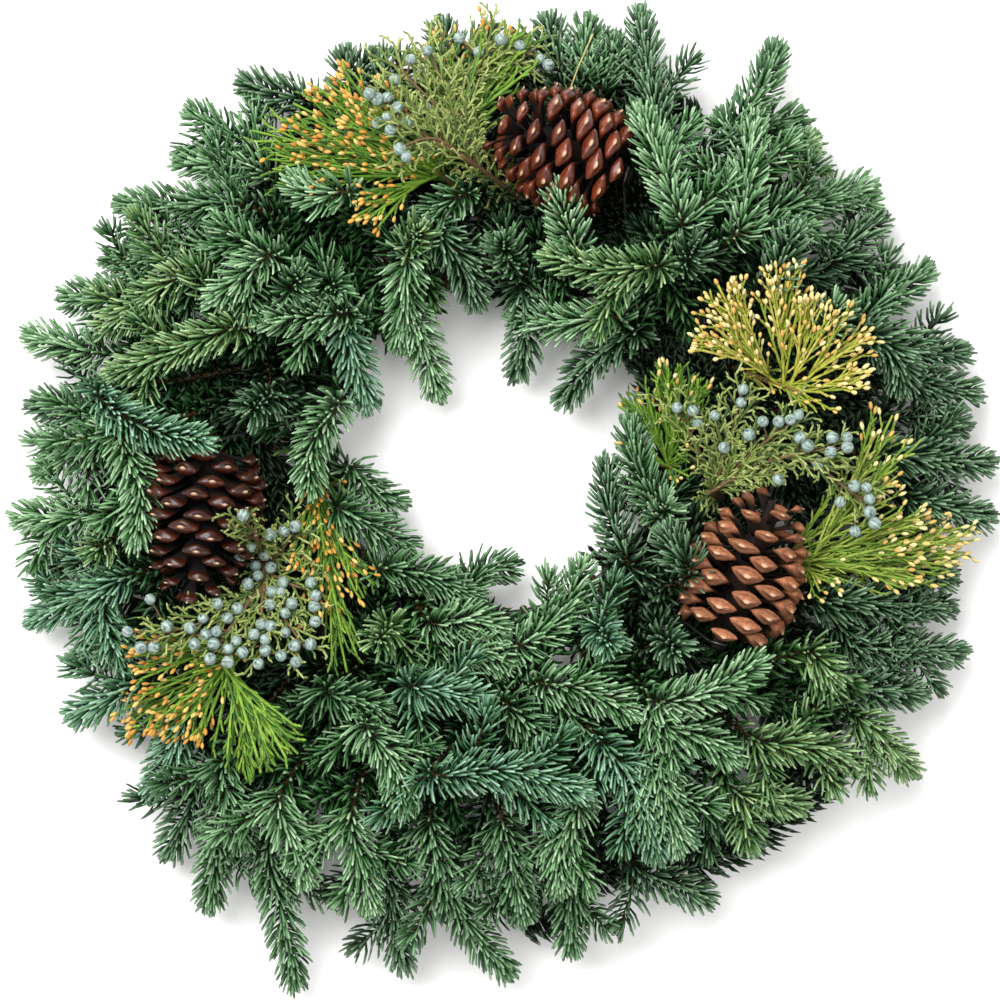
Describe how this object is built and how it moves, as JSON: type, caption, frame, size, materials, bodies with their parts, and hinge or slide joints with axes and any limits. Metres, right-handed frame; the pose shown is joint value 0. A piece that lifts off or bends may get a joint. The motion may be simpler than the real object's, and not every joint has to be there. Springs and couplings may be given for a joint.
{
  "type": "fresh evergreen wreath",
  "caption": "Round fresh wreath of fir tips, scaled cedar and berried juniper sprays with pine cones, clamped to a double-rail wire ring round an open middle.",
  "frame": {"origin": "middle of the whole wreath's box, on the surface that its back lies on", "axes": "+Z out of the wreath's face towards the viewer, +Y towards its top, +X towards its right"},
  "size_m": [0.6324, 0.6294, 0.1148],
  "materials": {
    "fir_foliage": "waxy blue-green needles",
    "cedar_foliage": "waxy yellow-green scales",
    "juniper_foliage": "olive scales with frosted berries",
    "glossy_cone": "varnished red-brown",
    "matte_cone": "dry tan-brown",
    "frame_wire": "dark green enamel",
    "tie_wire": "green florist's wire"
  },
  "bodies": {
    "root": {"wire_frame": "frame_wire", "cone_top": "glossy_cone", "cone_left": "glossy_cone", "cone_right": "matte_cone", "cone_top_tie": "tie_wire", "cone_left_tie": "tie_wire", "cone_right_tie": "tie_wire", "cedar_spray_top": "cedar_foliage", "cedar_spray_right": "cedar_foliage", "cedar_spray_far_right": "cedar_foliage", "cedar_spray_inner_right": "cedar_foliage", "cedar_spray_inner_left": "cedar_foliage", "cedar_spray_left": "cedar_foliage", "juniper_spray_top": "juniper_foliage", "juniper_spray_right": "juniper_foliage", "juniper_spray_left": "juniper_foliage", "fir_bunch_00": "fir_foliage", "fir_bunch_01": "fir_foliage", "fir_bunch_02": "fir_foliage", "fir_bunch_04": "fir_foliage", "fir_bunch_05": "fir_foliage", "fir_bunch_06": "fir_foliage", "fir_bunch_07": "fir_foliage", "fir_bunch_08": "fir_foliage", "fir_bunch_09": "fir_foliage", "fir_bunch_10": "fir_foliage", "fir_bunch_11": "fir_foliage", "fir_bunch_13": "fir_foliage", "fir_bunch_15": "fir_foliage", "fir_bunch_16": "fir_foliage", "fir_bunch_17": "fir_foliage", "fir_bunch_18": "fir_foliage", "fir_bunch_19": "fir_foliage", "fir_bunch_20": "fir_foliage", "fir_bunch_21": "fir_foliage", "fir_bunch_22": "fir_foliage", "fir_bunch_23": "fir_foliage", "fir_bunch_24": "fir_foliage", "fir_bunch_25": "fir_foliage", "fir_bunch_28": "fir_foliage", "fir_bunch_30": "fir_foliage", "fir_bunch_31": "fir_foliage", "fir_bunch_32": "fir_foliage", "fir_bunch_34": "fir_foliage", "fir_bunch_35": "fir_foliage", "fir_bunch_36": "fir_foliage", "fir_bunch_37": "fir_foliage", "fir_bunch_38": "fir_foliage", "fir_bunch_39": "fir_foliage", "fir_bunch_40": "fir_foliage", "fir_bunch_41": "fir_foliage", "fir_bunch_42": "fir_foliage", "fir_bunch_44": "fir_foliage", "fir_bunch_45": "fir_foliage", "fir_bunch_46": "fir_foliage", "fir_bunch_47": "fir_foliage", "fir_bunch_48": "fir_foliage", "fir_bunch_49": "fir_foliage", "fir_bunch_51": "fir_foliage"}
  },
  "joints": []
}
